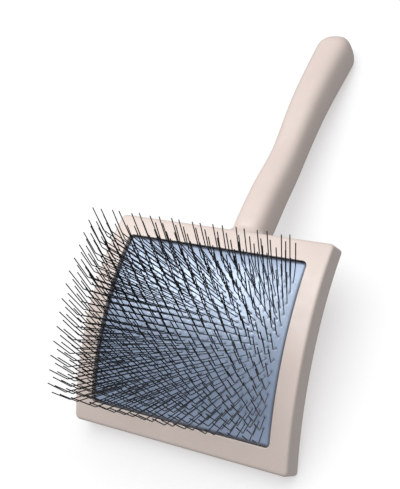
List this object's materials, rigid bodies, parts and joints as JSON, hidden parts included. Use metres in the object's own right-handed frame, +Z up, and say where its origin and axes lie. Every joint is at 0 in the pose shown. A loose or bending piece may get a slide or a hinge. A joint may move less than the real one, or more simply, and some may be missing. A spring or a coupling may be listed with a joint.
{
  "type": "slicker brush",
  "caption": "Long-pin slicker brush with an arched rectangular head, bent steel wire pins in a cushioned pad, and a waisted round-ended handle, for working mats out of a coat.",
  "frame": {"origin": "middle of the bottom of the resting brush's bounding box, on the table", "axes": "+Y along the brush from the head towards the end of the handle, +X across the head, +Z up; the brush lies on its back with its pins up"},
  "size_m": [0.12, 0.259, 0.0787],
  "materials": {
    "body": "satin, soft pink-beige",
    "pad_rubber": "matte blue-grey",
    "pad_canvas": "woven grey",
    "foam": "open-cell cream foam",
    "plate": "matte grey",
    "screw_steel": "zinc-plated",
    "pin_steel": "drawn wire, dark grey"
  },
  "bodies": {
    "root": {"frame_and_handle": "body", "back_cover": "body", "pad_rubber": "pad_rubber", "pad_canvas": "pad_canvas", "foam_cushion": "foam", "backing_plate": "plate", "cover_screw_1": "screw_steel", "cover_screw_2": "screw_steel", "cover_screw_3": "screw_steel", "cover_screw_4": "screw_steel", "cover_screw_5": "screw_steel", "cover_screw_6": "screw_steel", "pin_row_01": "pin_steel", "pin_row_02": "pin_steel", "pin_row_03": "pin_steel", "pin_row_04": "pin_steel", "pin_row_05": "pin_steel", "pin_row_06": "pin_steel", "pin_row_07": "pin_steel", "pin_row_08": "pin_steel", "pin_row_09": "pin_steel", "pin_row_10": "pin_steel", "pin_row_11": "pin_steel", "pin_row_12": "pin_steel", "pin_row_13": "pin_steel", "pin_row_14": "pin_steel", "pin_row_15": "pin_steel", "pin_row_16": "pin_steel", "pin_row_17": "pin_steel", "pin_row_18": "pin_steel", "pin_row_19": "pin_steel", "pin_row_20": "pin_steel", "pin_row_21": "pin_steel", "pin_row_22": "pin_steel", "pin_row_23": "pin_steel", "pin_row_24": "pin_steel", "pin_row_25": "pin_steel", "pin_row_26": "pin_steel", "pin_row_27": "pin_steel", "pin_row_28": "pin_steel"}
  },
  "joints": []
}
